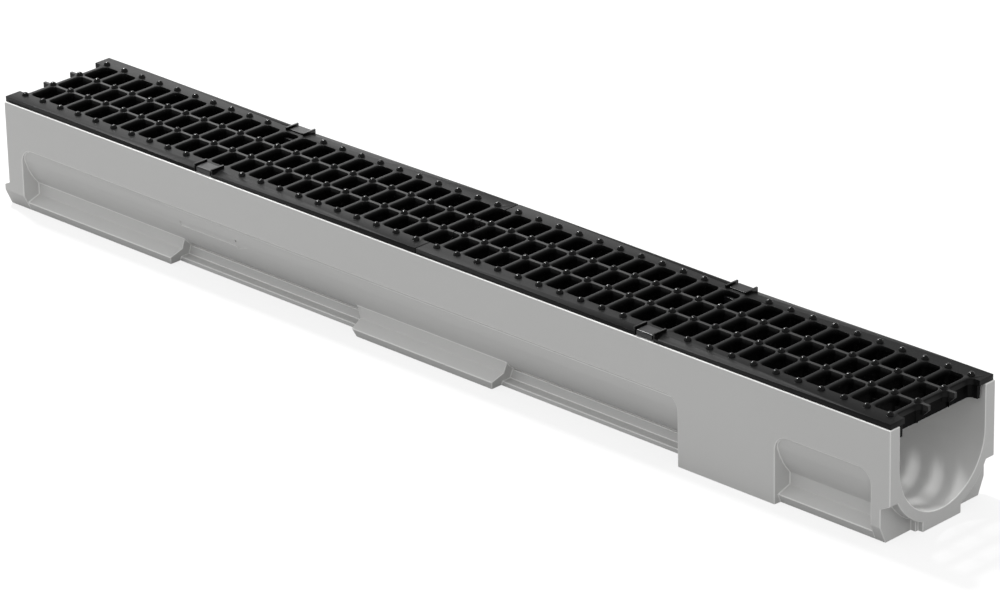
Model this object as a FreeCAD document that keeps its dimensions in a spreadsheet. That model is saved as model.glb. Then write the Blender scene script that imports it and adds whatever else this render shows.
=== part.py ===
import FreeCAD, Part
import os
import Sketcher

# A one metre channel drain: a cast concrete channel that carries two mesh gratings, each held by two clips.
# X runs along the channel, Y across it, and Z = 0 is the underside that stands on its bed.

doc = FreeCAD.newDocument("ChannelDrain")
sheet = doc.addObject("Spreadsheet::Sheet", "Sizes")

SIZES = {
    # Channel
    "channel_length": 1000.0,
    "channel_width": 122.5,
    "wall_height": 98.3,
    "trough_width": 100.0,
    "trough_axis_height": 62.7,
    "shell_thickness": 10.0,
    "keel_width": 70.5,
    "rim_width": 88.0,
    "rim_height": 4.2,
    # Side pockets
    "pocket_top": 59.5,
    "pocket_depth": 30.0,
    "pocket_draft": 3.0,
    "pocket_corner_radius": 13.0,
    "pilaster_width": 19.0,
    "block_width": 100.0,
    "block_to_end": 115.0,
    "chamfer_height": 14.5,
    "chamfer_width": 6.6,
    # Feet
    "foot_web_width": 90.4,
    "foot_root_height": 24.0,
    "foot_ledge_height": 12.6,
    "foot_nose_height": 7.7,
    "foot_nose_inset": 3.8,
    "foot_end_draft": 8.5,
    "end_foot_length": 179.5,
    "middle_foot_length": 155.0,
    # Tongue and recess that line up two channels
    "recess_depth": 9.4,
    "recess_top": 35.0,
    "recess_slope": 5.0,
    "recess_ring_inset": 1.0,
    "end_keel_width": 45.0,
    "recess_step": 3.0,
    "tongue_length": 6.0,
    "tongue_top": 23.0,
    "tongue_slope": 3.0,
    "tongue_clearance": 0.5,
    # Gratings
    "grating_ledge": 1.3,
    "end_gap": 1.0,
    "seam_gap": 1.0,
    "flange_thickness": 4.7,
    "grating_depth": 16.0,
    "lip_clearance": 3.15,
    "lip_thickness": 3.1,
    "lip_setback": 2.1,
    "bar_count": 22,
    "bar_width": 5.0,
    "bar_draft_angle": 3.5,
    "rib_offset": 15.35,
    "rib_width": 2.8,
    "rib_depth": 9.0,
    "rib_end_cut": 4.8,
    "opening_corner": 2.6,
    "stud_width": 6.5,
    "stud_height": 3.0,
    "stud_taper_angle": 24.0,
    "stud_row_offset": 47.35,
    "scoop_width": 8.0,
    "scoop_fall": 1.7,
    "scoop_length": 190.0,
    # Locking clips
    "clip_width": 16.5,
    "clip_side_gap": 1.25,
    "clip_back_gap": 1.0,
    "clip_rise": 0.8,
    "clip_lift": 0.8,
    "clip_edge_radius": 1.3,
    "leg_thickness": 1.7,
    "leg_clearance": 0.3,
    "leg_depth": 14.8,
    "hook_reach": 2.0,
    "hook_top_depth": 7.8,
    "hook_length": 4.0,
    "arm_reach": 7.0,
    "arm_thickness": 5.8,
    "hook_clearance": 0.5,
    "recess_side_clearance": 2.5,
    "arm_window_clearance": 0.4,
    "ear_thickness": 1.6,
    "ear_rise": 2.5,
    "ear_inner_offset": 46.0,
}
for row, (alias, value) in enumerate(SIZES.items(), start=1):
    sheet.set("A%d" % row, alias)
    sheet.set("B%d" % row, str(value))
    sheet.setAlias("B%d" % row, alias)
doc.recompute()

# Formulas that several pieces share
half_length = "Sizes.channel_length / 2"
half_width = "Sizes.channel_width / 2"
trough_radius = "Sizes.trough_width / 2"
shell_radius = "Sizes.trough_width / 2 + Sizes.shell_thickness"
left_wall = "Sizes.pilaster_width - Sizes.channel_length / 2"
block_start = "Sizes.channel_length / 2 - Sizes.block_to_end - Sizes.block_width"
block_stop = "Sizes.channel_length / 2 - Sizes.block_to_end"
right_wall = "Sizes.channel_length / 2 - Sizes.pilaster_width"
grating_length = "(Sizes.channel_length - 2 * Sizes.end_gap - Sizes.seam_gap) / 2"
grating_centre = "(Sizes.channel_length - 2 * Sizes.end_gap + Sizes.seam_gap) / 4"
grating_half_width = "(Sizes.channel_width / 2 - Sizes.grating_ledge)"
pitch = "((Sizes.channel_length - 2 * Sizes.end_gap - Sizes.seam_gap) / 2 / Sizes.bar_count)"
web_depth = "(Sizes.grating_depth - Sizes.flange_thickness)"
lip_outer = "(Sizes.trough_width / 2 - Sizes.lip_clearance)"
lip_inner = "(Sizes.trough_width / 2 - Sizes.lip_clearance - Sizes.lip_thickness)"
clip_half_width = "Sizes.clip_width / 2"
leg_outer = "(Sizes.trough_width / 2 - Sizes.leg_clearance)"
leg_back = "(Sizes.trough_width / 2 - Sizes.leg_clearance - Sizes.leg_thickness)"
slot_half_width = "(Sizes.clip_width / 2 + Sizes.clip_side_gap)"
slot_back = f"({leg_back} - Sizes.clip_back_gap)"


def negative(formula):
    return f"-({formula})"


def number(formula):
    return float(sheet.evalExpression(formula))


def block(name, x, y, z):
    """A box between two formulas on each axis."""
    solid = doc.addObject("Part::Box", name)
    spans = (x, y, z)
    for side, axis, (low, high) in zip(("Length", "Width", "Height"), "xyz", spans):
        solid.setExpression(side, f"({high}) - ({low})")
        solid.setExpression(f"Placement.Base.{axis}", low)
    return solid


def long_cylinder(name, radius, x, height):
    """A cylinder along X between two formulas, with its axis at a height."""
    solid = doc.addObject("Part::Cylinder", name)
    solid.Placement.Rotation = FreeCAD.Rotation(FreeCAD.Vector(0, 1, 0), 90)
    solid.setExpression("Radius", radius)
    solid.setExpression("Height", f"({x[1]}) - ({x[0]})")
    solid.setExpression("Placement.Base.x", x[0])
    solid.setExpression("Placement.Base.z", height)
    return solid


def draw(sketch, corners):
    """A closed outline through corners that are pairs of formulas."""
    points = [FreeCAD.Vector(number(across), number(up), 0) for across, up in corners]
    first = sketch.GeometryCount
    for start, end in zip(points, points[1:] + points[:1]):
        sketch.addGeometry(Part.LineSegment(start, end), False)
    for step, (across, up) in enumerate(corners):
        line = first + step
        following = first + (step + 1) % len(corners)
        sketch.addConstraint(Sketcher.Constraint("Coincident", line, 2, following, 1))
        for kind, formula, value in (("DistanceX", across, points[step].x), ("DistanceY", up, points[step].y)):
            index = sketch.addConstraint(Sketcher.Constraint(kind, -1, 1, line, 1, value))
            sketch.setExpression(f"Constraints[{index}]", formula)


def rectangle(x, y):
    return [(x[0], y[0]), (x[1], y[0]), (x[1], y[1]), (x[0], y[1])]


def hexagon(along, across, size):
    """A regular hexagon of a width across its corners, about a point."""
    corners = []
    for turn in range(0, 360, 60):
        corners.append((f"{along} + {size} / 2 * cos({turn} deg)", f"{across} + {size} / 2 * sin({turn} deg)"))
    return corners


def window(x, inner, outer, corner):
    """An opening beside a lip, with its two corners at the lip cut off."""
    (left, right) = x
    sign = "-" if outer.startswith("-") else "+"
    back = "+" if sign == "-" else "-"
    return [
        (left, inner),
        (right, inner),
        (right, f"{outer} {back} {corner}"),
        (f"({right}) - {corner}", outer),
        (f"({left}) + {corner}", outer),
        (left, f"{outer} {back} {corner}"),
    ]


def prism(name, outlines, facing, start, run, taper=None):
    """Outlines drawn square to one axis and extruded along it."""
    sketch = doc.addObject("Sketcher::SketchObject", name + "_outline")
    turns = {
        "X": FreeCAD.Rotation(0.5, 0.5, 0.5, 0.5),
        "Y": FreeCAD.Rotation(FreeCAD.Vector(1, 0, 0), 90),
        "Z": FreeCAD.Rotation(),
    }
    sketch.Placement.Rotation = turns[facing]
    sketch.setExpression(f"Placement.Base.{facing.lower()}", start)
    for corners in outlines:
        draw(sketch, corners)
    solid = doc.addObject("Part::Extrusion", name)
    solid.Base = sketch
    solid.DirMode = "Normal"
    solid.Solid = True
    solid.setExpression("LengthFwd", run)
    if taper:
        solid.setExpression("TaperAngle", taper)
    return solid


def flat_sided(feature):
    """A feature's solids rebuilt from flat faces with straight edges, so that tapered sides stay simple."""
    solids = []
    for solid in feature.Shape.Solids:
        faces = []
        for face in solid.Faces:
            corners = [vertex.Point for vertex in face.OuterWire.OrderedVertexes]
            faces.append(Part.Face(Part.makePolygon(corners + corners[:1])))
        solids.append(Part.Solid(Part.makeShell(faces)))
    return solids


def row_of(feature, count, spacing):
    """The solids of a feature and their copies along X, evenly spaced."""
    copies = []
    for step in range(round(number(count))):
        for solid in flat_sided(feature):
            solid.translate(FreeCAD.Vector(step * number(spacing), 0, 0))
            copies.append(solid)
    return copies


def placed(name, design, along, turn):
    """A piece of its own made from a shared design, set along the channel at the height of its seat."""
    piece = doc.addObject("Part::Compound", name)
    piece.Links = [design]
    piece.Placement.Rotation = FreeCAD.Rotation(FreeCAD.Vector(0, 0, 1), turn)
    piece.setExpression("Placement.Base.x", along)
    piece.setExpression("Placement.Base.z", "Sizes.wall_height")
    return piece


def fuse(name, shapes):
    solid = doc.addObject("Part::MultiFuse", name)
    solid.Shapes = shapes
    return solid


def cut(name, base, tool):
    solid = doc.addObject("Part::Cut", name)
    solid.Base = base
    solid.Tool = tool
    return solid


def plane_sketch(body, name, role, offset="0"):
    """A sketch on one of a body's own origin planes, moved along its normal."""
    sketch = body.newObject("Sketcher::SketchObject", name)
    plane = next(item for item in body.Origin.OriginFeatures if item.Role == role)
    sketch.AttachmentSupport = [(plane, "")]
    sketch.MapMode = "FlatFace"
    sketch.setExpression("AttachmentOffset.Base.z", offset)
    return sketch


# Channel body: the side pockets, drafted inwards and rounded at their upper corners
def pocket_core(name, x, side):
    body = doc.addObject("PartDesign::Body", name)
    wedge = body.newObject("PartDesign::AdditiveWedge", name + "_wedge")
    wide = {"min": x[0], "max": x[1], "top": "Sizes.pocket_top"}
    narrow = {
        "min": f"{x[0]} + Sizes.pocket_draft",
        "max": f"{x[1]} - Sizes.pocket_draft",
        "top": "Sizes.pocket_top - Sizes.pocket_draft",
    }
    first, last = (wide, narrow) if side < 0 else (narrow, wide)
    outer = f"{side} * ({half_width})"
    inner = f"{side} * ({half_width} - Sizes.pocket_depth)"
    wedge.setExpression("Xmin", first["min"])
    wedge.setExpression("Xmax", first["max"])
    wedge.setExpression("Zmin", "0")
    wedge.setExpression("Zmax", first["top"])
    wedge.setExpression("X2min", last["min"])
    wedge.setExpression("X2max", last["max"])
    wedge.setExpression("Z2min", "0")
    wedge.setExpression("Z2max", last["top"])
    wedge.setExpression("Ymin", outer if side < 0 else inner)
    wedge.setExpression("Ymax", inner if side < 0 else outer)
    doc.recompute()
    upper_edges = []
    for index, edge in enumerate(wedge.Shape.Edges, start=1):
        ends = [vertex.Point for vertex in edge.Vertexes]
        crosses = abs(ends[0].y - ends[1].y) > number("Sizes.pocket_depth") / 2
        if crosses and min(end.z for end in ends) > number("Sizes.pocket_top") / 2:
            upper_edges.append("Edge%d" % index)
    rounding = body.newObject("PartDesign::Fillet", name + "_rounding")
    rounding.Base = (wedge, upper_edges)
    rounding.setExpression("Radius", "Sizes.pocket_corner_radius")
    body.Tip = rounding
    return body


long_pocket = (left_wall, block_start)
short_pocket = (block_stop, right_wall)
cores = [
    pocket_core("near_long_pocket", long_pocket, -1),
    pocket_core("far_long_pocket", long_pocket, 1),
    pocket_core("near_short_pocket", short_pocket, -1),
    pocket_core("far_short_pocket", short_pocket, 1),
]
whole_length = (negative(half_length), half_length)
side_block = block("side_block", whole_length, (negative(half_width), half_width), ("0", "Sizes.wall_height"))
side_frame = cut("side_frame", side_block, fuse("pocket_cores", cores))

# Channel body: the round shell, the keel under it and the thin rim that the keel stands on
shell = long_cylinder("shell", shell_radius, whole_length, "Sizes.trough_axis_height")
keel = block("keel", whole_length, ("-Sizes.keel_width / 2", "Sizes.keel_width / 2"),
             ("0", "Sizes.trough_axis_height - Sizes.trough_width / 2"))
rim = block("rim", whole_length, ("-Sizes.rim_width / 2", "Sizes.rim_width / 2"), ("0", "Sizes.rim_height"))

# Channel body: three feet a side, with an upright web, a sloping ledge and drafted ends
foot_half_outline = [
    (f"{half_width} - Sizes.chamfer_width", "0"),
    (f"{half_width} - Sizes.foot_nose_inset", "Sizes.foot_nose_height"),
    ("Sizes.foot_web_width / 2", "Sizes.foot_ledge_height"),
    ("Sizes.foot_web_width / 2", "Sizes.foot_root_height"),
]
foot_outline = foot_half_outline + [(negative(across), up) for across, up in reversed(foot_half_outline)]
foot_profile = prism("foot_profile", [foot_outline], "X", left_wall, f"({right_wall}) - ({left_wall})")
foot_spread = "Sizes.foot_end_draft"
end_foot_stop = "Sizes.pilaster_width - Sizes.channel_length / 2 + Sizes.end_foot_length"
middle_half = "Sizes.middle_foot_length / 2"
end_foot = [
    (left_wall, "0"),
    (end_foot_stop, "0"),
    (f"{end_foot_stop} + {foot_spread}", "Sizes.foot_root_height"),
    (left_wall, "Sizes.foot_root_height"),
]
middle_foot = [
    (negative(middle_half), "0"),
    (middle_half, "0"),
    (f"{middle_half} + {foot_spread}", "Sizes.foot_root_height"),
    (f"-{middle_half} - {foot_spread}", "Sizes.foot_root_height"),
]
short_foot = rectangle(short_pocket, ("0", "Sizes.foot_root_height"))
foot_sides = [end_foot, middle_foot, short_foot]
foot_lengths = prism("foot_lengths", foot_sides, "Y", half_width, "Sizes.channel_width")
feet = doc.addObject("Part::Common", "feet")
feet.Base = foot_profile
feet.Tool = foot_lengths

# Channel body: the tongue under the left end and the recess under the right end
tongue_start = f"-({half_length}) - Sizes.tongue_length"
tongue_side = [
    (tongue_start, "0"),
    (negative(half_length), "0"),
    (negative(half_length), "Sizes.tongue_top"),
    (tongue_start, "Sizes.tongue_top - Sizes.tongue_slope"),
]
tongue_block = prism("tongue_block", [tongue_side], "Y", half_width, "Sizes.channel_width")
tongue_span = (tongue_start, negative(half_length))
tongue_keel_half = "Sizes.end_keel_width / 2 + Sizes.tongue_clearance"
tongue_gap = fuse("tongue_gap", [
    long_cylinder("tongue_ring", f"{shell_radius} + Sizes.tongue_clearance", tongue_span,
                  "Sizes.trough_axis_height"),
    block("tongue_keel_gap", tongue_span, (negative(tongue_keel_half), tongue_keel_half),
          ("0", "Sizes.tongue_top")),
])
tongue = cut("tongue", tongue_block, tongue_gap)

recess_start = f"{half_length} - Sizes.recess_depth"
recess_middle = f"{half_length} - Sizes.recess_depth / 2"
recess_side = [
    (recess_start, "0"),
    (half_length, "0"),
    (half_length, "Sizes.recess_top"),
    (recess_start, "Sizes.recess_top - Sizes.recess_slope"),
]
recess_block = prism("recess_block", [recess_side], "Y", half_width, "Sizes.channel_width")
end_keel_half = "Sizes.end_keel_width / 2"
step_half = "Sizes.end_keel_width / 2 + Sizes.recess_step"
recess_kept = fuse("recess_kept", [
    long_cylinder("recess_ring", f"{shell_radius} - Sizes.recess_ring_inset", (recess_start, half_length),
                  "Sizes.trough_axis_height"),
    block("recess_keel", (recess_start, half_length), (negative(end_keel_half), end_keel_half),
          ("0", "Sizes.recess_top")),
    block("recess_keel_step", (recess_start, recess_middle), (negative(step_half), step_half),
          ("0", "Sizes.recess_top")),
])
recess = cut("recess", recess_block, recess_kept)

# Channel body: the trough, the level tops of its walls, the bevels under its ends and the clips' hook pockets
above = "Sizes.trough_axis_height + Sizes.trough_width / 2 + 2 * Sizes.shell_thickness"
overrun = (f"-({half_length}) - Sizes.shell_thickness", f"{half_length} + Sizes.shell_thickness")
trough = fuse("trough", [
    long_cylinder("trough_round", trough_radius, overrun, "Sizes.trough_axis_height"),
    block("trough_upper", overrun, (negative(trough_radius), trough_radius),
          ("Sizes.trough_axis_height", above)),
])
above_walls = block("above_walls", overrun, (negative(half_width), half_width),
                    ("Sizes.wall_height", above))
bevel_sides = [
    [(f"{side} * ({half_width})", "0"), (f"{side} * ({half_width} - Sizes.chamfer_width)", "0"),
     (f"{side} * ({half_width})", "Sizes.chamfer_height")]
    for side in (1, -1)
]
bevel_run = "Sizes.pilaster_width + Sizes.pocket_draft"
left_bevel = prism("left_bevel", bevel_sides, "X", tongue_start, f"{bevel_run} + Sizes.tongue_length")
right_bevel = prism("right_bevel", bevel_sides, "X", f"{half_length} - ({bevel_run})", bevel_run)
seat = "Sizes.wall_height"
hook_pocket_half = f"{clip_half_width} + Sizes.recess_side_clearance"
hook_pocket_depth = f"{leg_outer} + Sizes.hook_reach + Sizes.hook_clearance"
hook_pocket_heights = (f"{seat} - Sizes.leg_depth - Sizes.hook_clearance",
                       f"{seat} - Sizes.hook_top_depth + 2 * Sizes.hook_clearance")
hook_pockets = []
for place, along in (("left", negative(grating_centre)), ("right", grating_centre)):
    for side, reach in (("near", (negative(hook_pocket_depth), "0")), ("far", ("0", hook_pocket_depth))):
        span = (f"{along} - ({hook_pocket_half})", f"{along} + {hook_pocket_half}")
        hook_pockets.append(block(f"hook_pocket_{place}_{side}", span, reach, hook_pocket_heights))

solid_parts = fuse("channel_solid", [side_frame, shell, keel, rim, feet, tongue])
removed = fuse("channel_removed", [trough, above_walls, left_bevel, right_bevel, recess] + hook_pockets)
channel_body = cut("channel_body", solid_parts, removed)


# Grating design, centred on its own middle with Z = 0 at its seat: the deck and the downstand lips under it
half_grating = f"({grating_length} / 2)"
deck_top = "Sizes.flange_thickness"
web_bottom = f"-{web_depth}"
web_half = f"({half_grating} - Sizes.lip_setback)"
deck = block("deck", (negative(half_grating), half_grating), (negative(grating_half_width), grating_half_width),
             ("0", deck_top))
web = block("web", (negative(web_half), web_half), (negative(lip_outer), lip_outer), (web_bottom, "0"))

# Grating: openings in three bays between the bars, narrowest at the top, so that the bars taper downwards
first_bar = f"({pitch} / 2 - {half_grating})"
window_left = f"{first_bar} + Sizes.bar_width / 2"
window_right = f"{first_bar} + {pitch} - Sizes.bar_width / 2"
rib_inner = "(Sizes.rib_offset - Sizes.rib_width / 2)"
rib_outer = "(Sizes.rib_offset + Sizes.rib_width / 2)"
bays = [(negative(lip_inner), negative(rib_outer)), (negative(rib_inner), rib_inner), (rib_outer, lip_inner)]
gap_count = "Sizes.bar_count - 1"
window_span = (window_left, window_right)
window_outlines = [
    window(window_span, negative(rib_outer), negative(lip_inner), "Sizes.opening_corner"),
    rectangle(window_span, bays[1]),
    window(window_span, rib_outer, lip_inner, "Sizes.opening_corner"),
]
windows = prism("windows", window_outlines, "Z", deck_top, "-Sizes.grating_depth", "-Sizes.bar_draft_angle")

# Grating: the ribs are shallower than the bars, so the openings join up below them
rib_bottom = "(Sizes.flange_thickness - Sizes.rib_depth)"
rib_draft = "Sizes.rib_depth * tan(Sizes.bar_draft_angle * 1 deg)"
relief_outline = rectangle((f"{window_left} - {rib_draft}", f"{window_right} + {rib_draft}"),
                           (negative(rib_outer), rib_outer))
rib_reliefs = prism("rib_reliefs", [relief_outline], "Z", rib_bottom, f"-({rib_bottom} + {web_depth})",
                    "-Sizes.bar_draft_angle")

# Grating: past the end bars each end is open, and the lower corners of the rib ends are cut off
beyond = f"({half_grating} + Sizes.bar_width)"
end_bar_face = f"({half_grating} - {pitch} / 2 + Sizes.bar_width / 2)"
end_windows = []
for low, high in bays:
    end_windows.append(rectangle((end_bar_face, beyond), (low, high)))
    end_windows.append(rectangle((negative(beyond), negative(end_bar_face)), (low, high)))
end_openings = prism("end_openings", end_windows, "Z", web_bottom, "Sizes.grating_depth")
rib_ends = [
    [
        (f"{side} * {end_bar_face}", web_bottom),
        (f"{side} * {beyond}", web_bottom),
        (f"{side} * {beyond}", f"{rib_bottom} + Sizes.rib_end_cut"),
        (f"{side} * {half_grating}", f"{rib_bottom} + Sizes.rib_end_cut"),
        (f"{side} * ({half_grating} - Sizes.rib_end_cut)", rib_bottom),
        (f"{side} * {end_bar_face}", rib_bottom),
    ]
    for side in (1, -1)
]
rib_end_cuts = prism("rib_end_cuts", rib_ends, "Y", rib_outer, f"2 * {rib_outer}")


# Grating: studs where the bars meet the ribs and the flanges, but none on the flanges beside the clips
def stud_row(name, start, row, count):
    outlines = [hexagon(start, f"{side} * {row}", "Sizes.stud_width") for side in (1, -1)]
    stud = prism(name + "_pair", outlines, "Z", deck_top, "Sizes.stud_height", "-Sizes.stud_taper_angle")
    return stud, count


flange_stud_count = "Sizes.bar_count / 2 - 1"
studs = [
    stud_row("rib_studs", first_bar, "Sizes.rib_offset", "Sizes.bar_count"),
    stud_row("left_flange_studs", first_bar, "Sizes.stud_row_offset", flange_stud_count),
    stud_row("right_flange_studs", f"({pitch} * 1.5)", "Sizes.stud_row_offset", flange_stud_count),
]

# Grating: a slot through each flange for a clip, a window in the lip for the clip's arm, and two ears
def between(side, low, high):
    """Two offsets from the middle on one side of it, as a low and a high formula."""
    return (low, high) if side > 0 else (negative(high), negative(low))


arm_half = f"({clip_half_width} + Sizes.arm_window_clearance)"
slots = []
arm_windows = []
ears = []
for place, side in (("far", 1), ("near", -1)):
    slots.append(block(f"slot_{place}", (negative(slot_half_width), slot_half_width),
                       between(side, slot_back, half_width), ("0", deck_top)))
    through_lip = between(side, f"{lip_inner} - Sizes.lip_thickness", trough_radius)
    arm_windows.append(block(f"arm_window_{place}", (negative(arm_half), arm_half), through_lip,
                             (web_bottom, "0")))
    ear_rows = between(side, "Sizes.ear_inner_offset", grating_half_width)
    for hand, end in (("right", 1), ("left", -1)):
        ear_edges = between(end, slot_half_width, f"{slot_half_width} + Sizes.ear_thickness")
        ears.append(block(f"ear_{place}_{hand}", ear_edges, ear_rows, ("0", f"{deck_top} + Sizes.ear_rise")))


# Grating: a long shallow slope on the outer top edge of each flange, deepest beside the clip
def scoop(name, side, end):
    edge = f"{side} * ({half_width})"
    stages = (("deep", "Sizes.scoop_width", slot_half_width),
              ("shallow", "0", f"({slot_half_width} + Sizes.scoop_length)"))
    sections = []
    for stage, width, along in stages:
        section = doc.addObject("Sketcher::SketchObject", f"{name}_{stage}")
        section.Placement.Rotation = FreeCAD.Rotation(0.5, 0.5, 0.5, 0.5)
        section.setExpression("Placement.Base.x", f"{end} * {along}")
        drop = f"Sizes.scoop_fall / Sizes.scoop_width * ({width} + Sizes.grating_ledge)"
        draw(section, [
            (f"{side} * ({grating_half_width} - {width})", deck_top),
            (edge, f"{deck_top} - {drop}"),
            (edge, f"{deck_top} + {drop}"),
        ])
        sections.append(section)
    slope = doc.addObject("Part::Loft", name)
    slope.Sections = sections
    slope.Solid = True
    slope.Ruled = True
    return slope


scoops = [
    scoop(f"scoop_{place}_{hand}", side, end)
    for place, side in (("far", 1), ("near", -1)) for hand, end in (("right", 1), ("left", -1))
]

# Grating: one casting, first opened and then given its studs and ears
doc.recompute()
removed_solids = row_of(windows, gap_count, pitch) + row_of(rib_reliefs, gap_count, pitch)
for feature in [end_openings, rib_end_cuts] + slots + arm_windows + scoops:
    removed_solids += flat_sided(feature)
added_solids = []
for stud, count in studs:
    added_solids += row_of(stud, count, pitch)
for ear in ears:
    added_solids += flat_sided(ear)
deck_and_web = flat_sided(deck)[0].fuse(flat_sided(web))
grating_design = doc.addObject("Part::Feature", "grating_design")
grating_design.Shape = deck_and_web.cut(removed_solids).fuse(added_solids).removeSplitter()

# Clip design, in the same frame as the grating: a tab, a hooked leg and an arm that bears up under the flange
tab_top = "Sizes.flange_thickness + Sizes.clip_rise"
clip_design = doc.addObject("PartDesign::Body", "clip_design")
clip_outline = plane_sketch(clip_design, "clip_outline", "YZ_Plane", negative(clip_half_width))
draw(clip_outline, [
    (leg_back, tab_top),
    (grating_half_width, tab_top),
    (grating_half_width, "Sizes.clip_lift"),
    (leg_outer, "Sizes.clip_lift"),
    (leg_outer, "-Sizes.hook_top_depth"),
    (f"{leg_outer} + Sizes.hook_reach", "-Sizes.hook_top_depth - Sizes.hook_reach"),
    (f"{leg_outer} + Sizes.hook_reach", "-Sizes.hook_top_depth - Sizes.hook_length"),
    (leg_outer, "-Sizes.leg_depth"),
    (leg_back, "-Sizes.leg_depth"),
    (leg_back, "-Sizes.arm_thickness"),
    (f"{leg_back} - Sizes.arm_reach", "-Sizes.arm_thickness"),
    (f"{leg_back} - Sizes.arm_reach", "0"),
    (leg_back, "0"),
])
clip_block = clip_design.newObject("PartDesign::Pad", "clip_block")
clip_block.Profile = clip_outline
clip_block.setExpression("Length", "Sizes.clip_width")
doc.recompute()
outer_edge = []
for index, edge in enumerate(clip_block.Shape.Edges, start=1):
    ends = [vertex.Point for vertex in edge.Vertexes]
    at_top = min(end.z for end in ends) > number(tab_top) - 0.01
    at_edge = min(end.y for end in ends) > number(grating_half_width) - 0.01
    if at_top and at_edge:
        outer_edge.append("Edge%d" % index)
clip_rounding = clip_design.newObject("PartDesign::Fillet", "clip_rounding")
clip_rounding.Base = (clip_block, outer_edge)
clip_rounding.setExpression("Radius", "Sizes.clip_edge_radius")
clip_design.Tip = clip_rounding

# The two gratings and their four clips in their places
left_place = negative(grating_centre)
gratings = [
    placed("grating_left", grating_design, left_place, 0),
    placed("grating_right", grating_design, grating_centre, 0),
]
clips = [
    placed("clip_left_far", clip_design, left_place, 0),
    placed("clip_left_near", clip_design, left_place, 180),
    placed("clip_right_far", clip_design, grating_centre, 0),
    placed("clip_right_near", clip_design, grating_centre, 180),
]

pieces = [channel_body] + gratings + clips
for piece in pieces:
    piece.Label = piece.Name
doc.recompute()

for item in doc.Objects:
    if "Invalid" in item.State or "Error" in item.State:
        raise RuntimeError("%s failed: %s" % (item.Name, item.State))
for piece in pieces:
    if piece.Shape.isNull() or not piece.Shape.isValid():
        raise RuntimeError("%s has no valid shape" % piece.Name)

os.makedirs("parts", exist_ok=True)
for piece in pieces:
    piece.Shape.exportStep("parts/%s.step" % piece.Label)
    box = piece.Shape.BoundBox
    print("%s solids %d volume %.0f x %.1f..%.1f y %.1f..%.1f z %.1f..%.1f" % (
        piece.Label, len(piece.Shape.Solids), piece.Shape.Volume,
        box.XMin, box.XMax, box.YMin, box.YMax, box.ZMin, box.ZMax))
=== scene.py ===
import math

import bmesh
import bpy
from mathutils import Matrix, Vector


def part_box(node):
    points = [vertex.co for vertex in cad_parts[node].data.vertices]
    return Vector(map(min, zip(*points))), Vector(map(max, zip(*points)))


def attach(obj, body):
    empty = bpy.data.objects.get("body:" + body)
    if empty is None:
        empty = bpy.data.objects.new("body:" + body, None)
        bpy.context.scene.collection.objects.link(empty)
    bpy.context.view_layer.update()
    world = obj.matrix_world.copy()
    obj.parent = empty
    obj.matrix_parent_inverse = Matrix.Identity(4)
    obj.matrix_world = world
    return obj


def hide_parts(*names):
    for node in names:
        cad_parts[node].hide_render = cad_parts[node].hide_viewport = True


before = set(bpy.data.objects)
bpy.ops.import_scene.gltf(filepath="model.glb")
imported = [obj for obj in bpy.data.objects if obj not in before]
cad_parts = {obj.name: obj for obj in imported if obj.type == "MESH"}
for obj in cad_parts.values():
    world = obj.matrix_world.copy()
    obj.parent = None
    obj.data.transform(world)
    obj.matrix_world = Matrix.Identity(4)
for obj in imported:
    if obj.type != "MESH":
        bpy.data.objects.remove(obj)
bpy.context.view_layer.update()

# The studio: a pale floor that keeps the object's shadow, a white surround, a lamp high over the left end and
# a large faint one low behind it. The camera stands beyond the right end on the near side and looks down
# along the channel, as in the photograph.
MM = 0.001
camera_place = Vector((2827.6, -2826.8, 1815.2)) * MM
camera_azimuth = math.radians(44.652)
camera_drop = math.radians(23.979)
camera_roll = math.radians(-1.334)
camera_lens = 193.35
camera_sensor = 36.0

camera_data = bpy.data.cameras.new("camera")
camera_data.lens = camera_lens
camera_data.sensor_width = camera_sensor
camera_data.clip_end = 50.0
camera = bpy.data.objects.new("camera", camera_data)
bpy.context.scene.collection.objects.link(camera)
camera.matrix_world = (
    Matrix.Translation(camera_place)
    @ Matrix.Rotation(camera_azimuth, 4, "Z")
    @ Matrix.Rotation(math.pi / 2 - camera_drop, 4, "X")
    @ Matrix.Rotation(camera_roll, 4, "Z")
)
bpy.context.scene.camera = camera
bpy.context.scene.view_settings.view_transform = "Standard"


def nodes_of(owner):
    """Empties an owner's node tree, and returns the functions that add any node, a ramp and a sum to it."""
    owner.use_nodes = True
    tree = owner.node_tree
    tree.nodes.clear()

    def add(kind, inputs=None, **settings):
        node = tree.nodes.new(kind)
        for name, value in settings.items():
            setattr(node, name, value)
        for socket, value in (inputs or {}).items():
            if isinstance(value, bpy.types.NodeSocket):
                tree.links.new(value, node.inputs[socket])
            else:
                node.inputs[socket].default_value = value
        return node

    def ramp(value, low, high, before=0.0, after=1.0):
        limits = {"From Min": low, "From Max": high, "To Min": before, "To Max": after}
        return add("ShaderNodeMapRange", {"Value": value, **limits}).outputs[0]

    def maths(operation, first, second=0.0):
        return add("ShaderNodeMath", {0: first, 1: second}, operation=operation).outputs[0]

    return add, ramp, maths


world_light = 0.88
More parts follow.
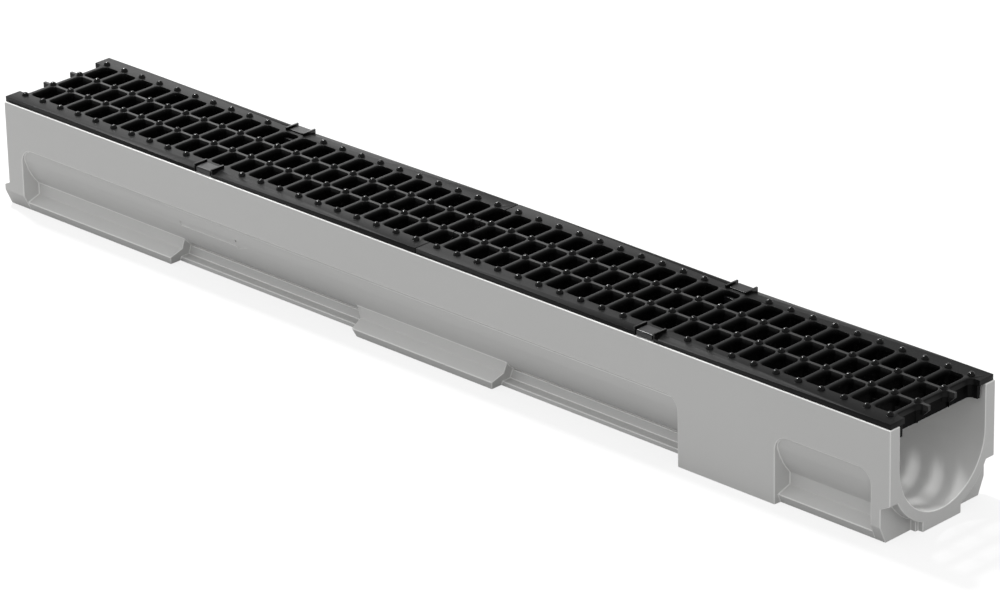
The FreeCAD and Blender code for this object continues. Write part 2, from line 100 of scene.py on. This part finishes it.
# What the satin surfaces mirror, by direction along the channel: two marks, and the light before and after
mirrored_ends = ((-0.65, -0.56, 1.0, 0.35), (-0.73, -0.66, 0.5, 1.0))
world = bpy.data.worlds.new("surround")
bpy.context.scene.world = world
add, ramp, maths = nodes_of(world)
path = add("ShaderNodeLightPath")
direct = maths("MAXIMUM", path.outputs["Is Camera Ray"], path.outputs["Is Transmission Ray"])
strength = ramp(direct, 0.0, 1.0, world_light, 1.0)
place = add("ShaderNodeTexCoord")
towards = add("ShaderNodeSeparateXYZ", {0: place.outputs["Generated"]})
right_end, left_end = [ramp(towards.outputs["X"], *marks) for marks in mirrored_ends]
panel = maths("MULTIPLY", right_end, left_end)
shown = add("ShaderNodeMix", {"Factor": path.outputs["Is Glossy Ray"], "A": strength, "B": panel})
backdrop = add("ShaderNodeBackground", {"Color": (1, 1, 1, 1), "Strength": shown.outputs[0]})
add("ShaderNodeOutputWorld", {"Surface": backdrop.outputs[0]})

floor_size = 12.0
floor_white = 0.8
floor_tone = 0.9
floor_bounce = 0.28
mesh = bpy.data.meshes.new("floor")
shape = bmesh.new()
bmesh.ops.create_grid(shape, x_segments=1, y_segments=1, size=floor_size / 2)
shape.to_mesh(mesh)
shape.free()
floor = bpy.data.objects.new("floor", mesh)
bpy.context.scene.collection.objects.link(floor)
material = bpy.data.materials.new("pale_floor")
add, ramp, maths = nodes_of(material)
path = add("ShaderNodeLightPath")
seen = maths("MAXIMUM", path.outputs["Is Camera Ray"], path.outputs["Is Glossy Ray"])
tone = ramp(seen, 0.0, 1.0, floor_bounce, floor_tone)
paper = add("ShaderNodeBsdfPrincipled", {"Base Color": tone, "Roughness": 0.9, "Specular IOR Level": 0.0})
glow = add("ShaderNodeEmission", {"Color": (1, 1, 1, 1), "Strength": 1.0})
share = maths("MULTIPLY", seen, floor_white)
both = add("ShaderNodeMixShader", {0: share, 1: paper.outputs[0], 2: glow.outputs[0]})
add("ShaderNodeOutputMaterial", {"Surface": both.outputs[0]})
mesh.materials.append(material)

LAMPS = (
    # name, direction from the part, distance and size in metres, watts
    ("overhead", (-0.55, 0.10, 0.82), 3.2, 0.3, 105.0),
    ("panel_left", (-0.78, 0.50, 0.37), 1.9, 1.0, 4.0),
)
for name, direction, distance, size, watts in LAMPS:
    lamp_data = bpy.data.lights.new(name, "AREA")
    lamp_data.size = size
    lamp_data.energy = watts
    lamp = bpy.data.objects.new(name, lamp_data)
    bpy.context.scene.collection.objects.link(lamp)
    lamp.location = Vector(direction).normalized() * distance
    lamp.rotation_euler = (-lamp.location).to_track_quat("-Z", "Y").to_euler()

# The channel body: one casting of light grey polymer concrete from a steel mould, matte and fine grained.
# The mould leaves every corner slightly rounded, so the casting's outline is taken over and its corners are
# eased. The rounded corners are painted a little lighter, as a painted highlight.
concrete_colour = (0.600, 0.600, 0.592)
channel_easing = 0.7 * MM
channel_corner = 20


def grain_group():
    """Fine mottling and grain: tone varies about 1, height is for a bump."""
    group = bpy.data.node_groups.new("cast_grain", "ShaderNodeTree")
    defaults = {"Cloud Scale": 12.0, "Grain Scale": 900.0, "Tone Depth": 0.05, "Grain Depth": 0.03}
    for name, value in defaults.items():
        socket = group.interface.new_socket(name, in_out="INPUT", socket_type="NodeSocketFloat")
        socket.default_value = value
    for name in ("Tone", "Height"):
        group.interface.new_socket(name, in_out="OUTPUT", socket_type="NodeSocketFloat")
    nodes, links = group.nodes, group.links
    given = nodes.new("NodeGroupInput")
    result = nodes.new("NodeGroupOutput")
    place = nodes.new("ShaderNodeTexCoord")

    def noise(scale_name, detail):
        texture = nodes.new("ShaderNodeTexNoise")
        texture.inputs["Detail"].default_value = detail
        links.new(place.outputs["Object"], texture.inputs["Vector"])
        links.new(given.outputs[scale_name], texture.inputs["Scale"])
        return texture.outputs["Fac"]

    def maths(operation, first, second):
        node = nodes.new("ShaderNodeMath")
        node.operation = operation
        links.new(first, node.inputs[0])
        if isinstance(second, bpy.types.NodeSocket):
            links.new(second, node.inputs[1])
        else:
            node.inputs[1].default_value = second
        return node.outputs[0]

    def spread(value, depth_name):
        """A noise value moved to the middle and scaled by a depth."""
        return maths("MULTIPLY", maths("SUBTRACT", value, 0.5), given.outputs[depth_name])

    grain = noise("Grain Scale", 3.0)
    cloud = spread(noise("Cloud Scale", 4.0), "Tone Depth")
    speckle = spread(grain, "Grain Depth")
    links.new(maths("ADD", maths("ADD", cloud, speckle), 1.0), result.inputs["Tone"])
    links.new(grain, result.inputs["Height"])
    return group


cast_grain = grain_group()


def cast_material(name, colour, roughness, specular, scales, bump, edge_highlight_gain=1.0):
    """A matte or satin cast surface: the shared grain gives tone and relief, and marked edges get a painted
    highlight.
    """
    material = bpy.data.materials.new(name)
    add, ramp, maths = nodes_of(material)
    grain = add("ShaderNodeGroup", scales, node_tree=cast_grain)
    # Painted highlight: faces marked as edges are painted lighter by a gain
    edge = add("ShaderNodeAttribute", attribute_name="edge")
    shade = maths("MULTIPLY", grain.outputs["Tone"], ramp(edge.outputs["Fac"], 0.0, 1.0, 1.0, edge_highlight_gain))
    tone = add("ShaderNodeVectorMath", {0: colour, "Scale": shade}, operation="SCALE")
    relief = add("ShaderNodeBump", {
        "Height": grain.outputs["Height"],
        "Strength": bump,
        "Distance": 0.1 * MM,
    })
    surface = add("ShaderNodeBsdfPrincipled", {
        "Base Color": tone.outputs["Vector"],
        "Roughness": maths("MULTIPLY", grain.outputs["Tone"], roughness),
        "Specular IOR Level": specular,
        "Normal": relief.outputs["Normal"],
    })
    add("ShaderNodeOutputMaterial", {"Surface": surface.outputs[0]})
    return material


concrete_grain = {"Cloud Scale": 9.0, "Grain Scale": 1400.0, "Tone Depth": 0.05, "Grain Depth": 0.05}
# The concrete's marked edges are painted 1.35 times lighter, a painted highlight
concrete = cast_material("polymer_concrete", concrete_colour, roughness=0.82, specular=0.3,
                         scales=concrete_grain, bump=0.25, edge_highlight_gain=1.35)


def eased_copy(node, name, width, corner_angle, clamped=True):
    """A node's own shape with every corner sharper than an angle rounded by a width."""
    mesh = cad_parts[node].data.copy()
    mesh.name = name
    shape = bmesh.new()
    shape.from_mesh(mesh)
    bmesh.ops.remove_doubles(shape, verts=shape.verts, dist=0.002 * MM)
    bmesh.ops.dissolve_limit(shape, angle_limit=math.radians(0.5), verts=shape.verts, edges=shape.edges)
    shape.to_mesh(mesh)
    shape.free()
    mesh.attributes.remove(mesh.attributes["custom_normal"])
    for polygon in mesh.polygons:
        polygon.use_smooth = True
    mesh.set_sharp_from_angle(angle=math.radians(corner_angle))
    piece = bpy.data.objects.new(name, mesh)
    bpy.context.scene.collection.objects.link(piece)
    bevel = piece.modifiers.new("eased_corners", "BEVEL")
    bevel.width = width
    bevel.segments = 2
    bevel.limit_method = "ANGLE"
    bevel.angle_limit = math.radians(corner_angle)
    bevel.harden_normals = True
    bevel.use_clamp_overlap = clamped
    return piece


def settle(piece):
    """Applies a piece's modifiers to its mesh."""
    view = bpy.context.evaluated_depsgraph_get()
    mesh = bpy.data.meshes.new_from_object(piece.evaluated_get(view))
    piece.modifiers.clear()
    piece.data = mesh


def dress(piece, material, slot, *replaced):
    """Gives a piece its material, and lets it stand for CAD nodes on the one body. The slot argument is not
    used.
    """
    piece.data.materials.clear()
    piece.data.materials.append(material)
    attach(piece, "root")
    if replaced:
        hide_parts(*replaced)


channel = eased_copy("channel_body", "channel", channel_easing, channel_corner, clamped=False)
settle(channel)
# Easing unclamped corners can push a point past the flat sides
channel_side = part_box("channel_body")[1].y
for vert in channel.data.vertices:
    vert.co.y = max(-channel_side, min(channel_side, vert.co.y))

# The flow arrow: a shallow mark that the mould leaves in the near side of the shell, pointing downstream.
# It is deepest along its upper edges and runs out towards its lower ones, so only the upper edges show as
# lines. With the arrow in, the casting is finished.
arrow_tail = -285 * MM
arrow_neck = -216.6 * MM
arrow_tip = -203 * MM
arrow_shaft_half = 2.4 * MM
arrow_head_half = 5.4 * MM
arrow_height = 43.5 * MM
arrow_shallow = 0.05 * MM
arrow_depth = 1.2 * MM
line_width = 0.9 * MM
line_depth = 2.2 * MM
shell_radius = 60 * MM
shell_axis = 62.7 * MM
cutter_reach = 1 * MM


def piece_from(shape, name):
    """A finished bmesh as an object at the origin, with its faces pointing outwards."""
    bmesh.ops.recalc_face_normals(shape, faces=shape.faces)
    mesh = bpy.data.meshes.new(name)
    shape.to_mesh(mesh)
    shape.free()
    piece = bpy.data.objects.new(name, mesh)
    bpy.context.scene.collection.objects.link(piece)
    return piece


def carve(piece, cutter):
    """Cuts a cutter out of a piece for good and removes the cutter."""
    cutting = piece.modifiers.new("cut", "BOOLEAN")
    cutting.operation = "DIFFERENCE"
    cutting.solver = "EXACT"
    cutting.object = cutter
    settle(piece)
    bpy.data.objects.remove(cutter)


def press_in(piece, outline, low_depth, high_depth):
    """Sinks an outline of (along, up) points into the shell, to one depth at its foot and one at its head."""
    shape = bmesh.new()
    face = shape.faces.new([shape.verts.new((along, up, -1)) for along, up in outline])
    raised = bmesh.ops.extrude_face_region(shape, geom=[face])
    for vert in (item for item in raised["geom"] if isinstance(item, bmesh.types.BMVert)):
        vert.co.z = 1
    middle_turn = math.asin((shell_axis - arrow_height) / shell_radius)
    for vert in shape.verts:
        turn = middle_turn - vert.co.y / shell_radius
        share = (vert.co.y + arrow_head_half) / (2 * arrow_head_half)
        depth = low_depth + (high_depth - low_depth) * share
        radius = shell_radius + (cutter_reach if vert.co.z > 0 else -depth)
        vert.co = (vert.co.x, -radius * math.cos(turn), shell_axis - radius * math.sin(turn))
    carve(piece, piece_from(shape, "mark"))


whole_arrow = [(arrow_tail, -arrow_shaft_half), (arrow_neck, -arrow_shaft_half),
               (arrow_neck, -arrow_head_half), (arrow_tip, 0), (arrow_neck, arrow_head_half),
               (arrow_neck, arrow_shaft_half), (arrow_tail, arrow_shaft_half)]
shaft_line = [(arrow_tail, arrow_shaft_half - line_width), (arrow_neck, arrow_shaft_half - line_width),
              (arrow_neck, arrow_shaft_half), (arrow_tail, arrow_shaft_half)]
head_line = [(arrow_neck, arrow_head_half - 1.6 * line_width), (arrow_tip - 2 * line_width, 0),
             (arrow_tip, 0), (arrow_neck, arrow_head_half)]
press_in(channel, whole_arrow, arrow_shallow, arrow_depth)
press_in(channel, shaft_line, line_depth, line_depth)
press_in(channel, head_line, line_depth, line_depth)

channel.data.attributes.remove(channel.data.attributes["custom_normal"])
channel.data.set_sharp_from_angle(angle=math.radians(50))
shading = channel.modifiers.new("even_shading", "WEIGHTED_NORMAL")
shading.keep_sharp = True
# Painted highlight: the narrow faces of the eased corners are marked here, and the material paints them
# lighter
narrow_face = 0.6 * MM
edge_highlight = channel.data.attributes.new("edge", "FLOAT", "FACE")
for polygon in channel.data.polygons:
    corners = [channel.data.vertices[index].co for index in polygon.vertices]
    longest = max((a - b).length for a, b in zip(corners, corners[1:] + corners[:1]))
    edge_highlight.data[polygon.index].value = 1.0 if polygon.area < narrow_face * longest else 0.0
dress(channel, concrete, "concrete", "channel_body")

# The two gratings: identical ductile iron castings with a thin black coating, laid end to end on the walls.
# Each is a deck on two downstand lips, opened between 22 cross bars and two long ribs, with a stud at each
# crossing. It is shaped once and copied to both places.
grating_low, grating_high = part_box("grating_left")
grating_length = grating_high.x - grating_low.x
deck_half = grating_high.y
channel_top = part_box("channel_body")[1].z
bar_count = 22
pitch = grating_length / bar_count
deck_top = channel_top + 4.7 * MM
web_bottom = grating_low.z
lip_outer = 46.85 * MM
lip_inner = 43.75 * MM
lip_setback = 2.1 * MM
bar_top_width = 5.0 * MM
bar_web_width = 3.4 * MM
bar_layer_bottom = deck_top - 5.0 * MM
layer_step = 0.2 * MM
web_draft = 0.3 * MM
rib_row = 15.35 * MM
rib_width = 2.8 * MM
rib_bottom = deck_top - 9.0 * MM
rib_end_cut = 4.8 * MM
corner_radius = 4.5 * MM
end_reach = 30 * MM
slot_half = 9.5 * MM
slot_back = 47.0 * MM
window_reach = 2.1 * MM
arm_half = 8.65 * MM
ear_thickness = 1.6 * MM
ear_rise = 2.5 * MM
ear_inner = 46.0 * MM
ear_inset = 0.01 * MM
edge_easing = 0.6 * MM
edge_angle = math.radians(40)
scoop_width = 8.0 * MM
scoop_fall = 1.7 * MM
scoop_length = 190.0 * MM
crease_angle = math.radians(20)
flat_angle = math.radians(8)
stud_row = 47.35 * MM
stud_radius = 3.1 * MM
stud_height = 3.0 * MM
stud_root = 0.9 * MM
overlap = 1.0 * MM


def add_box(shape, x, y, z):
    """A box between two values on each axis."""
    size = Vector((x[1] - x[0], y[1] - y[0], z[1] - z[0]))
    middle = Vector((x[1] + x[0], y[1] + y[0], z[1] + z[0])) / 2
    place = Matrix.Translation(middle) @ Matrix.Diagonal(size).to_4x4()
    bmesh.ops.create_cube(shape, size=1.0, matrix=place)


def add_rounded_prism(shape, x, y, levels, corner):
    """An upright prism with round corners: each level is a height and how far its X sides stand out."""
    size = Vector((x[1] - x[0], y[1] - y[0], 1.0))
    middle = Vector((x[1] + x[0], y[1] + y[0], 0.0)) / 2
    place = Matrix.Translation(middle + Vector((0, 0, levels[0][0]))) @ Matrix.Diagonal(size / 2).to_4x4()
    made = bmesh.ops.create_grid(shape, x_segments=1, y_segments=1, size=1.0, matrix=place)
    rounded = bmesh.ops.bevel(shape, geom=made["verts"], offset=corner, segments=5, profile=0.5,
                              affect="VERTICES", material=-1, offset_type="OFFSET", clamp_overlap=True)
    face = max((f for v in rounded["verts"] for f in v.link_faces), key=lambda f: len(f.verts))
    out = 0.0
    verts = list(face.verts)
    for level, (height, stand_out) in enumerate(levels):
        for vert in verts:
            outwards = 1 if vert.co.x > middle.x else -1
            vert.co.z = height
            vert.co.x += outwards * (stand_out - out)
        out = stand_out
        if level + 1 < len(levels):
            grown = bmesh.ops.extrude_face_region(shape, geom=[face])
            if level > 0:
                bmesh.ops.delete(shape, geom=[face], context="FACES_ONLY")
            verts = [item for item in grown["geom"] if isinstance(item, bmesh.types.BMVert)]
            face = next(item for item in grown["geom"] if isinstance(item, bmesh.types.BMFace))


def run_along(shape, outline, step):
    """Extrudes a flat outline of points by a step."""
    face = shape.faces.new([shape.verts.new(point) for point in outline])
    run = bmesh.ops.extrude_face_region(shape, geom=[face])
    run_verts = [item for item in run["geom"] if isinstance(item, bmesh.types.BMVert)]
    bmesh.ops.translate(shape, verts=run_verts, vec=step)


# The casting's blank: the section of deck and lips, run along its length
blank_half = grating_length / 2
shape = bmesh.new()
half_section = [(lip_outer, web_bottom), (lip_outer, channel_top), (deck_half, channel_top),
                (deck_half, deck_top)]
section = [(-y, z) for y, z in reversed(half_section)][1:] + half_section + [(-deck_half, deck_top)]
run_along(shape, [(-blank_half, y, z) for y, z in section], (grating_length, 0, 0))
casting = piece_from(shape, "grating_casting")

# Openings: three bays between the ribs and lips, wider below the bars' top layer and crowned at their tops
rib_inner = rib_row - rib_width / 2
rib_outer = rib_row + rib_width / 2
bays = ((-lip_inner, -rib_outer), (-rib_inner, rib_inner), (rib_outer, lip_inner))
first_bar = -blank_half + pitch / 2
web_gain = (bar_top_width - bar_web_width) / 2
low_gain = web_gain + web_draft
cut_levels = (
    # height, how far the opening's X sides stand out
    (web_bottom - overlap, low_gain),
    (bar_layer_bottom, web_gain),
    (bar_layer_bottom + layer_step, 0.0),
    (deck_top - 1.1 * MM, 0.0),
    (deck_top - 0.4 * MM, 0.3 * MM),
    (deck_top - 0.1 * MM, 0.75 * MM),
    (deck_top + 0.05 * MM, 1.3 * MM),
    (deck_top + overlap, 1.3 * MM),
)
end_face = blank_half - pitch / 2 + bar_top_width / 2
gaps = [(first_bar + gap * pitch + bar_top_width / 2, first_bar + (gap + 1) * pitch - bar_top_width / 2)
        for gap in range(bar_count - 1)]
shape = bmesh.new()
for gap in gaps + [(end_face, end_face + end_reach), (-end_face - end_reach, -end_face)]:
    for bay in bays:
        add_rounded_prism(shape, gap, bay, cut_levels, corner_radius)
carve(casting, piece_from(shape, "openings"))

# Below the ribs the openings join up, and the lips stop short of the deck's ends
shape = bmesh.new()
join_half = rib_row + rib_width
for left, right in gaps:
    add_box(shape, (left - low_gain, right + low_gain), (-join_half, join_half),
            (web_bottom - overlap, rib_bottom))
for end in (1, -1):
    inner, outer = end * (end_face - low_gain), end * (blank_half + overlap)
    outline = [(inner, web_bottom - overlap), (outer, web_bottom - overlap),
               (outer, rib_bottom + rib_end_cut), (end * blank_half, rib_bottom + rib_end_cut),
               (end * (blank_half - rib_end_cut), rib_bottom), (inner, rib_bottom)]
    run_along(shape, [(x, -join_half, z) for x, z in outline], (0, 2 * join_half, 0))
    lip_end = end * (blank_half - lip_setback)
    for side in (1, -1):
        rows = sorted((side * (lip_inner - overlap), side * (lip_outer + overlap)))
        add_box(shape, sorted((lip_end, outer)), rows, (web_bottom - overlap, channel_top))
carve(casting, piece_from(shape, "lower_openings"))

# Slots for the clips
shape = bmesh.new()
for side in (1, -1):
    add_box(shape, (-slot_half, slot_half), sorted((side * slot_back, side * (deck_half + overlap))),
            (channel_top - overlap, deck_top + overlap))
carve(casting, piece_from(shape, "clip_slots"))

# Windows in the lips for the clips' arms
shape = bmesh.new()
for side in (1, -1):
    rows = sorted((side * (lip_inner - window_reach), side * (lip_outer + overlap)))
    add_box(shape, (-arm_half, arm_half), rows, (web_bottom - overlap, channel_top))
carve(casting, piece_from(shape, "arm_windows"))

# Long slopes beside the slots
shape = bmesh.new()
fall_rate = scoop_fall / scoop_width
cut_edge = deck_half + overlap
for side in (1, -1):
    for end in (1, -1):
        verts = []
        for along, width in ((slot_half, scoop_width), (slot_half + scoop_length, 0.0)):
            drop = fall_rate * (width + overlap)
            corners = ((deck_half - width, deck_top), (cut_edge, deck_top - drop),
                       (cut_edge, deck_top + drop))
            verts += [shape.verts.new((end * along, side * y, z)) for y, z in corners]
        bmesh.ops.convex_hull(shape, input=verts)
carve(casting, piece_from(shape, "slopes"))

# Ears stand up on both sides of each slot, and the casting's edges are eased
shape = bmesh.new()
shape.from_mesh(casting.data)
for side in (1, -1):
    for end in (1, -1):
        add_box(shape, sorted((end * slot_half, end * (slot_half + ear_thickness))),
                sorted((side * ear_inner, side * (deck_half - ear_inset))),
                (channel_top + ear_inset, deck_top + ear_rise))
shape.to_mesh(casting.data)
shape.free()
easing = casting.modifiers.new("eased_edges", "BEVEL")
easing.width = edge_easing
easing.segments = 2
easing.limit_method = "ANGLE"
easing.angle_limit = edge_angle
easing.harden_normals = True
for polygon in casting.data.polygons:
    polygon.use_smooth = True
casting.data.set_sharp_from_angle(angle=edge_angle)
settle(casting)

# The slopes keep their crease, and what is nearly flat beside it is shaded as one
shape = bmesh.new()
shape.from_mesh(casting.data)
for edge in shape.edges:
    on_slope = min(abs(vert.co.y) for vert in edge.verts) > deck_half - scoop_width - 0.1 * MM
    if on_slope and len(edge.link_faces) == 2 and edge.calc_face_angle() > flat_angle:
        edge.smooth = edge.calc_face_angle() > crease_angle
shape.to_mesh(casting.data)
shape.free()

# Studs: low domes, left out on the flanges beside the clips
shape = bmesh.new()
shape.from_mesh(casting.data)
stud_rows = (-stud_row, -rib_row, rib_row, stud_row)
clip_bars = (bar_count // 2 - 1, bar_count // 2)
for bar in range(bar_count):
    for row in stud_rows:
        if bar in clip_bars and abs(row) == stud_row:
            continue
        place = Matrix.Translation((first_bar + bar * pitch, row, deck_top))
        rise = Matrix.Diagonal((1, 1, stud_height / stud_radius, 1))
        made = bmesh.ops.create_uvsphere(shape, u_segments=14, v_segments=8, radius=stud_radius,
                                         matrix=place @ rise)
        sunk = [vert for vert in made["verts"] if vert.co.z < deck_top - stud_root]
        faces = {face for vert in made["verts"] for face in vert.link_faces}
        for face in faces:
            face.smooth = True
        bmesh.ops.delete(shape, geom=sunk, context="VERTS")
shape.to_mesh(casting.data)
shape.free()


def iron_material():
    """Thin black coating: satin on the deck, glossier on studs, with painted shade that makes it darker and
    duller in the depth of the openings, and a painted highlight on the rib crests.
    """
    material = bpy.data.materials.new("coated_iron")
    add, ramp, maths = nodes_of(material)
    place = add("ShaderNodeTexCoord")
    axes = add("ShaderNodeSeparateXYZ", {0: place.outputs["Object"]})
    along = maths("ABSOLUTE", axes.outputs["X"])
    outwards = maths("ABSOLUTE", axes.outputs["Y"])
    height = axes.outputs["Z"]

    # Open to the light and so left out of the painted shade: the deck's top, its long sides and its ends
    near_top = ramp(height, deck_top - 4.2 * MM, deck_top - 0.6 * MM)
    at_side = ramp(outwards, deck_half - 2 * MM, deck_half - 1 * MM)
    past_bars = ramp(along, 489.5 * MM, 489.8 * MM)
    end_layer = ramp(height, bar_layer_bottom, bar_layer_bottom + 0.4 * MM, before=0.4)
    at_end = maths("MULTIPLY", past_bars, end_layer)
    open_to_light = maths("MAXIMUM", near_top, maths("MAXIMUM", at_side, at_end))

    # Painted highlight: the crests of the long ribs between the bars are painted up to five times lighter
    from_rib = maths("ABSOLUTE", maths("SUBTRACT", outwards, rib_row))
    on_rib = ramp(from_rib, 1.3 * MM, 1.6 * MM, 1.0, 0.0)
    in_pitch = maths("FLOORED_MODULO", along, pitch)
    from_bar = maths("ABSOLUTE", maths("SUBTRACT", in_pitch, pitch / 2))
    past_bar = ramp(from_bar, 2.2 * MM, 4.5 * MM)
    rib_highlight = ramp(maths("MULTIPLY", on_rib, past_bar), 0.0, 1.0, 1.0, 5.0)

    # Studs stand above the deck: darker and more polished
    raised = ramp(height, deck_top + 0.1 * MM, deck_top + 0.3 * MM)
    grain = add("ShaderNodeGroup", {"Cloud Scale": 20.0, "Grain Scale": 1500.0, "Tone Depth": 0.25,
                                    "Grain Depth": 0.3}, node_tree=cast_grain)
    # Painted shade: the base colour is much darker deep in the openings than where open to the light
    depth_shade = ramp(open_to_light, 0.0, 1.0, 0.0015, 0.0075)
    dark = ramp(raised, 0.0, 1.0, 1.0, 0.25)
    shade = maths("MULTIPLY", maths("MULTIPLY", depth_shade, rib_highlight), dark)
    tone = maths("MULTIPLY", shade, grain.outputs["Tone"])
    # Painted shade too: the specular level drops deep in the openings
    depth_shaded_level = ramp(open_to_light, 0.0, 1.0, 0.02, 0.10)
    polish = ramp(raised, 0.0, 1.0, 1.0, 3.0)
    relief = add("ShaderNodeBump", {
        "Height": grain.outputs["Height"],
        "Strength": 0.3,
        "Distance": 0.1 * MM,
    })
    surface = add("ShaderNodeBsdfPrincipled", {
        "Base Color": tone,
        "Roughness": ramp(raised, 0.0, 1.0, 0.38, 0.22),
        "Specular IOR Level": maths("MULTIPLY", depth_shaded_level, polish),
        "Normal": relief.outputs["Normal"],
    })
    # An export that drops the linked level still finds a plain one on the socket
    surface.inputs["Specular IOR Level"].default_value = 0.08
    add("ShaderNodeOutputMaterial", {"Surface": surface.outputs[0]})
    return material


coated_iron = iron_material()
for node, name in (("grating_left", "mesh_grating_left"), ("grating_right", "mesh_grating_right")):
    low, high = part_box(node)
    mesh = casting.data.copy()
    mesh.name = name
    mesh.transform(Matrix.Translation(((low.x + high.x) / 2, 0, 0)))
    grating = bpy.data.objects.new(name, mesh)
    bpy.context.scene.collection.objects.link(grating)
    dress(grating, coated_iron, "grating", node)
bpy.data.objects.remove(casting)

# The four locking clips: black moulded plastic latches that sit in the flange slots and hook into the walls.
# Only the tab shows from above, and the arm below the flange shows through the next opening.
clip_colour = (0.006, 0.006, 0.0065)
clip_easing = 0.35 * MM
clip_corner = 30
clip_grain = {"Cloud Scale": 30.0, "Grain Scale": 2500.0, "Tone Depth": 0.1, "Grain Depth": 0.1}
clip_plastic = cast_material("clip_plastic", clip_colour, roughness=0.38, specular=0.45, scales=clip_grain,
                             bump=0.15)
for node in ("clip_left_far", "clip_left_near", "clip_right_far", "clip_right_near"):
    clip = eased_copy(node, "locking_" + node, clip_easing, clip_corner)
    dress(clip, clip_plastic, "clip", node)
